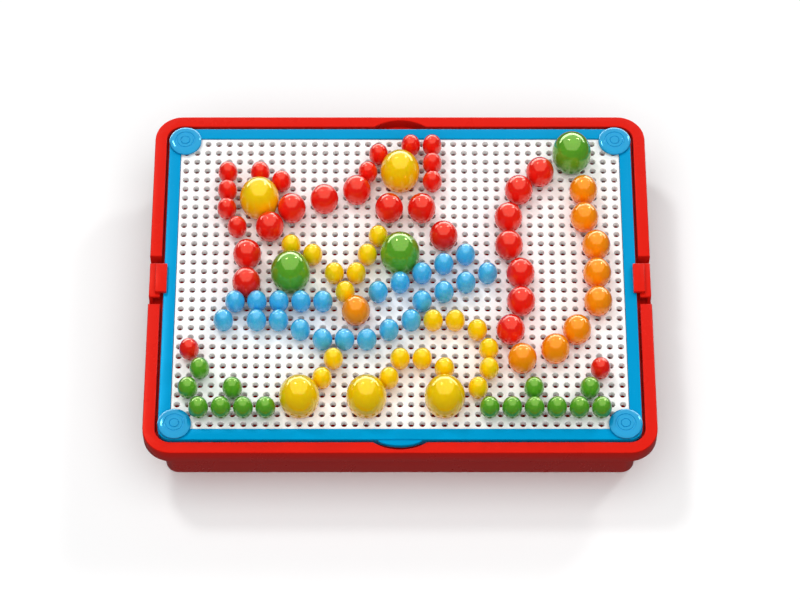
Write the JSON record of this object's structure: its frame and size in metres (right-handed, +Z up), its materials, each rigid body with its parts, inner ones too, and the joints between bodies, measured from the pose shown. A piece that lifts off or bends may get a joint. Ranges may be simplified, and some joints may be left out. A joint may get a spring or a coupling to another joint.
{
  "type": "peg mosaic board",
  "caption": "Perforated peg board in a frame, seated in a rimmed storage tray with side latches, filled with mushroom-headed pegs in small, medium and large sizes.",
  "frame": {"origin": "centre of the footprint, on the surface that the tray stands on", "axes": "+X to the player's right along the board's long side, +Y away from the player, +Z up out of the board"},
  "size_m": [0.253, 0.198, 0.0593],
  "materials": {
    "tray_red": "satin moulded",
    "frame_blue": "satin moulded",
    "board_white": "satin moulded",
    "pin_blue": "glossy moulded",
    "peg_red": "glossy moulded",
    "peg_yellow": "glossy moulded",
    "peg_green": "glossy moulded",
    "peg_blue": "glossy moulded",
    "peg_orange": "glossy moulded"
  },
  "bodies": {
    "tray": {"storage_tray": "tray_red"},
    "lid": {"board_frame": "frame_blue", "peg_board": "board_white", "corner_pin_back_left": "pin_blue", "corner_pin_back_right": "pin_blue", "corner_pin_front_left": "pin_blue", "corner_pin_front_right": "pin_blue"},
    "left_latch": {"left_latch": "tray_red"},
    "right_latch": {"right_latch": "tray_red"},
    "large_green_peg_1": {"large_green_peg_1": "peg_green"},
    "large_green_peg_2": {"large_green_peg_2": "peg_green"},
    "large_green_peg_3": {"large_green_peg_3": "peg_green"},
    "large_yellow_peg_1": {"large_yellow_peg_1": "peg_yellow"},
    "large_yellow_peg_2": {"large_yellow_peg_2": "peg_yellow"},
    "large_yellow_peg_3": {"large_yellow_peg_3": "peg_yellow"},
    "large_yellow_peg_4": {"large_yellow_peg_4": "peg_yellow"},
    "large_yellow_peg_5": {"large_yellow_peg_5": "peg_yellow"},
    "small_blue_pegs_1": {"small_blue_pegs_1": "peg_blue"},
    "small_blue_pegs_2": {"small_blue_pegs_2": "peg_blue"},
    "small_blue_pegs_3": {"small_blue_pegs_3": "peg_blue"},
    "small_blue_pegs_4": {"small_blue_pegs_4": "peg_blue"},
    "small_green_pegs_1": {"small_green_pegs_1": "peg_green"},
    "small_green_pegs_2": {"small_green_pegs_2": "peg_green"},
    "small_red_pegs_1": {"small_red_pegs_1": "peg_red"},
    "small_red_pegs_2": {"small_red_pegs_2": "peg_red"},
    "small_red_pegs_3": {"small_red_pegs_3": "peg_red"},
    "small_red_pegs_4": {"small_red_pegs_4": "peg_red"},
    "small_red_pegs_5": {"small_red_pegs_5": "peg_red"},
    "small_red_pegs_6": {"small_red_pegs_6": "peg_red"},
    "small_yellow_pegs_1": {"small_yellow_pegs_1": "peg_yellow"},
    "small_yellow_pegs_2": {"small_yellow_pegs_2": "peg_yellow"},
    "small_yellow_pegs_3": {"small_yellow_pegs_3": "peg_yellow"},
    "small_yellow_pegs_4": {"small_yellow_pegs_4": "peg_yellow"},
    "medium_orange_peg_1": {"medium_orange_peg_1": "peg_orange"},
    "medium_orange_peg_2": {"medium_orange_peg_2": "peg_orange"},
    "medium_orange_peg_3": {"medium_orange_peg_3": "peg_orange"},
    "medium_orange_peg_4": {"medium_orange_peg_4": "peg_orange"},
    "medium_orange_peg_5": {"medium_orange_peg_5": "peg_orange"},
    "medium_orange_peg_6": {"medium_orange_peg_6": "peg_orange"},
    "medium_orange_peg_7": {"medium_orange_peg_7": "peg_orange"},
    "medium_orange_peg_8": {"medium_orange_peg_8": "peg_orange"},
    "medium_orange_peg_9": {"medium_orange_peg_9": "peg_orange"},
    "medium_red_peg_1": {"medium_red_peg_1": "peg_red"},
    "medium_red_peg_10": {"medium_red_peg_10": "peg_red"},
    "medium_red_peg_11": {"medium_red_peg_11": "peg_red"},
    "medium_red_peg_12": {"medium_red_peg_12": "peg_red"},
    "medium_red_peg_13": {"medium_red_peg_13": "peg_red"},
    "medium_red_peg_14": {"medium_red_peg_14": "peg_red"},
    "medium_red_peg_15": {"medium_red_peg_15": "peg_red"},
    "medium_red_peg_16": {"medium_red_peg_16": "peg_red"},
    "medium_red_peg_2": {"medium_red_peg_2": "peg_red"},
    "medium_red_peg_3": {"medium_red_peg_3": "peg_red"},
    "medium_red_peg_4": {"medium_red_peg_4": "peg_red"},
    "medium_red_peg_5": {"medium_red_peg_5": "peg_red"},
    "medium_red_peg_6": {"medium_red_peg_6": "peg_red"},
    "medium_red_peg_7": {"medium_red_peg_7": "peg_red"},
    "medium_red_peg_8": {"medium_red_peg_8": "peg_red"},
    "medium_red_peg_9": {"medium_red_peg_9": "peg_red"}
  },
  "joints": [
    {"name": "lid_lift", "type": "slide", "parent": "tray", "child": "lid", "axis": [0, 0, 1], "range_m": [0, 0.06]},
    {"name": "left_latch_flex", "type": "hinge", "parent": "tray", "child": "left_latch", "pos_m": [-0.1253, 0, 0.0315], "axis": [0, -1, 0], "range_deg": [0, 14], "stiffness_Nm_per_rad": 0.2},
    {"name": "right_latch_flex", "type": "hinge", "parent": "tray", "child": "right_latch", "pos_m": [0.1253, 0, 0.0315], "axis": [0, 1, 0], "range_deg": [0, 14], "stiffness_Nm_per_rad": 0.2},
    {"name": "large_green_peg_1_pull", "type": "slide", "parent": "lid", "child": "large_green_peg_1", "axis": [0, 0, 1], "range_m": [0, 0.02]},
    {"name": "large_green_peg_2_pull", "type": "slide", "parent": "lid", "child": "large_green_peg_2", "axis": [0, 0, 1], "range_m": [0, 0.02]},
    {"name": "large_green_peg_3_pull", "type": "slide", "parent": "lid", "child": "large_green_peg_3", "axis": [0, 0, 1], "range_m": [0, 0.02]},
    {"name": "large_yellow_peg_1_pull", "type": "slide", "parent": "lid", "child": "large_yellow_peg_1", "axis": [0, 0, 1], "range_m": [0, 0.02]},
    {"name": "large_yellow_peg_2_pull", "type": "slide", "parent": "lid", "child": "large_yellow_peg_2", "axis": [0, 0, 1], "range_m": [0, 0.02]},
    {"name": "large_yellow_peg_3_pull", "type": "slide", "parent": "lid", "child": "large_yellow_peg_3", "axis": [0, 0, 1], "range_m": [0, 0.02]},
    {"name": "large_yellow_peg_4_pull", "type": "slide", "parent": "lid", "child": "large_yellow_peg_4", "axis": [0, 0, 1], "range_m": [0, 0.02]},
    {"name": "large_yellow_peg_5_pull", "type": "slide", "parent": "lid", "child": "large_yellow_peg_5", "axis": [0, 0, 1], "range_m": [0, 0.02]},
    {"name": "small_blue_pegs_1_pull", "type": "slide", "parent": "lid", "child": "small_blue_pegs_1", "axis": [0, 0, 1], "range_m": [0, 0.02]},
    {"name": "small_blue_pegs_2_pull", "type": "slide", "parent": "lid", "child": "small_blue_pegs_2", "axis": [0, 0, 1], "range_m": [0, 0.02]},
    {"name": "small_blue_pegs_3_pull", "type": "slide", "parent": "lid", "child": "small_blue_pegs_3", "axis": [0, 0, 1], "range_m": [0, 0.02]},
    {"name": "small_blue_pegs_4_pull", "type": "slide", "parent": "lid", "child": "small_blue_pegs_4", "axis": [0, 0, 1], "range_m": [0, 0.02]},
    {"name": "small_green_pegs_1_pull", "type": "slide", "parent": "lid", "child": "small_green_pegs_1", "axis": [0, 0, 1], "range_m": [0, 0.02]},
    {"name": "small_green_pegs_2_pull", "type": "slide", "parent": "lid", "child": "small_green_pegs_2", "axis": [0, 0, 1], "range_m": [0, 0.02]},
    {"name": "small_red_pegs_1_pull", "type": "slide", "parent": "lid", "child": "small_red_pegs_1", "axis": [0, 0, 1], "range_m": [0, 0.02]},
    {"name": "small_red_pegs_2_pull", "type": "slide", "parent": "lid", "child": "small_red_pegs_2", "axis": [0, 0, 1], "range_m": [0, 0.02]},
    {"name": "small_red_pegs_3_pull", "type": "slide", "parent": "lid", "child": "small_red_pegs_3", "axis": [0, 0, 1], "range_m": [0, 0.02]},
    {"name": "small_red_pegs_4_pull", "type": "slide", "parent": "lid", "child": "small_red_pegs_4", "axis": [0, 0, 1], "range_m": [0, 0.02]},
    {"name": "small_red_pegs_5_pull", "type": "slide", "parent": "lid", "child": "small_red_pegs_5", "axis": [0, 0, 1], "range_m": [0, 0.02]},
    {"name": "small_red_pegs_6_pull", "type": "slide", "parent": "lid", "child": "small_red_pegs_6", "axis": [0, 0, 1], "range_m": [0, 0.02]},
    {"name": "small_yellow_pegs_1_pull", "type": "slide", "parent": "lid", "child": "small_yellow_pegs_1", "axis": [0, 0, 1], "range_m": [0, 0.02]},
    {"name": "small_yellow_pegs_2_pull", "type": "slide", "parent": "lid", "child": "small_yellow_pegs_2", "axis": [0, 0, 1], "range_m": [0, 0.02]},
    {"name": "small_yellow_pegs_3_pull", "type": "slide", "parent": "lid", "child": "small_yellow_pegs_3", "axis": [0, 0, 1], "range_m": [0, 0.02]},
    {"name": "small_yellow_pegs_4_pull", "type": "slide", "parent": "lid", "child": "small_yellow_pegs_4", "axis": [0, 0, 1], "range_m": [0, 0.02]},
    {"name": "medium_orange_peg_1_pull", "type": "slide", "parent": "lid", "child": "medium_orange_peg_1", "axis": [0, 0, 1], "range_m": [0, 0.02]},
    {"name": "medium_orange_peg_2_pull", "type": "slide", "parent": "lid", "child": "medium_orange_peg_2", "axis": [0, 0, 1], "range_m": [0, 0.02]},
    {"name": "medium_orange_peg_3_pull", "type": "slide", "parent": "lid", "child": "medium_orange_peg_3", "axis": [0, 0, 1], "range_m": [0, 0.02]},
    {"name": "medium_orange_peg_4_pull", "type": "slide", "parent": "lid", "child": "medium_orange_peg_4", "axis": [0, 0, 1], "range_m": [0, 0.02]},
    {"name": "medium_orange_peg_5_pull", "type": "slide", "parent": "lid", "child": "medium_orange_peg_5", "axis": [0, 0, 1], "range_m": [0, 0.02]},
    {"name": "medium_orange_peg_6_pull", "type": "slide", "parent": "lid", "child": "medium_orange_peg_6", "axis": [0, 0, 1], "range_m": [0, 0.02]},
    {"name": "medium_orange_peg_7_pull", "type": "slide", "parent": "lid", "child": "medium_orange_peg_7", "axis": [0, 0, 1], "range_m": [0, 0.02]},
    {"name": "medium_orange_peg_8_pull", "type": "slide", "parent": "lid", "child": "medium_orange_peg_8", "axis": [0, 0, 1], "range_m": [0, 0.02]},
    {"name": "medium_orange_peg_9_pull", "type": "slide", "parent": "lid", "child": "medium_orange_peg_9", "axis": [0, 0, 1], "range_m": [0, 0.02]},
    {"name": "medium_red_peg_1_pull", "type": "slide", "parent": "lid", "child": "medium_red_peg_1", "axis": [0, 0, 1], "range_m": [0, 0.02]},
    {"name": "medium_red_peg_10_pull", "type": "slide", "parent": "lid", "child": "medium_red_peg_10", "axis": [0, 0, 1], "range_m": [0, 0.02]},
    {"name": "medium_red_peg_11_pull", "type": "slide", "parent": "lid", "child": "medium_red_peg_11", "axis": [0, 0, 1], "range_m": [0, 0.02]},
    {"name": "medium_red_peg_12_pull", "type": "slide", "parent": "lid", "child": "medium_red_peg_12", "axis": [0, 0, 1], "range_m": [0, 0.02]},
    {"name": "medium_red_peg_13_pull", "type": "slide", "parent": "lid", "child": "medium_red_peg_13", "axis": [0, 0, 1], "range_m": [0, 0.02]},
    {"name": "medium_red_peg_14_pull", "type": "slide", "parent": "lid", "child": "medium_red_peg_14", "axis": [0, 0, 1], "range_m": [0, 0.02]},
    {"name": "medium_red_peg_15_pull", "type": "slide", "parent": "lid", "child": "medium_red_peg_15", "axis": [0, 0, 1], "range_m": [0, 0.02]},
    {"name": "medium_red_peg_16_pull", "type": "slide", "parent": "lid", "child": "medium_red_peg_16", "axis": [0, 0, 1], "range_m": [0, 0.02]},
    {"name": "medium_red_peg_2_pull", "type": "slide", "parent": "lid", "child": "medium_red_peg_2", "axis": [0, 0, 1], "range_m": [0, 0.02]},
    {"name": "medium_red_peg_3_pull", "type": "slide", "parent": "lid", "child": "medium_red_peg_3", "axis": [0, 0, 1], "range_m": [0, 0.02]},
    {"name": "medium_red_peg_4_pull", "type": "slide", "parent": "lid", "child": "medium_red_peg_4", "axis": [0, 0, 1], "range_m": [0, 0.02]},
    {"name": "medium_red_peg_5_pull", "type": "slide", "parent": "lid", "child": "medium_red_peg_5", "axis": [0, 0, 1], "range_m": [0, 0.02]},
    {"name": "medium_red_peg_6_pull", "type": "slide", "parent": "lid", "child": "medium_red_peg_6", "axis": [0, 0, 1], "range_m": [0, 0.02]},
    {"name": "medium_red_peg_7_pull", "type": "slide", "parent": "lid", "child": "medium_red_peg_7", "axis": [0, 0, 1], "range_m": [0, 0.02]},
    {"name": "medium_red_peg_8_pull", "type": "slide", "parent": "lid", "child": "medium_red_peg_8", "axis": [0, 0, 1], "range_m": [0, 0.02]},
    {"name": "medium_red_peg_9_pull", "type": "slide", "parent": "lid", "child": "medium_red_peg_9", "axis": [0, 0, 1], "range_m": [0, 0.02]}
  ]
}
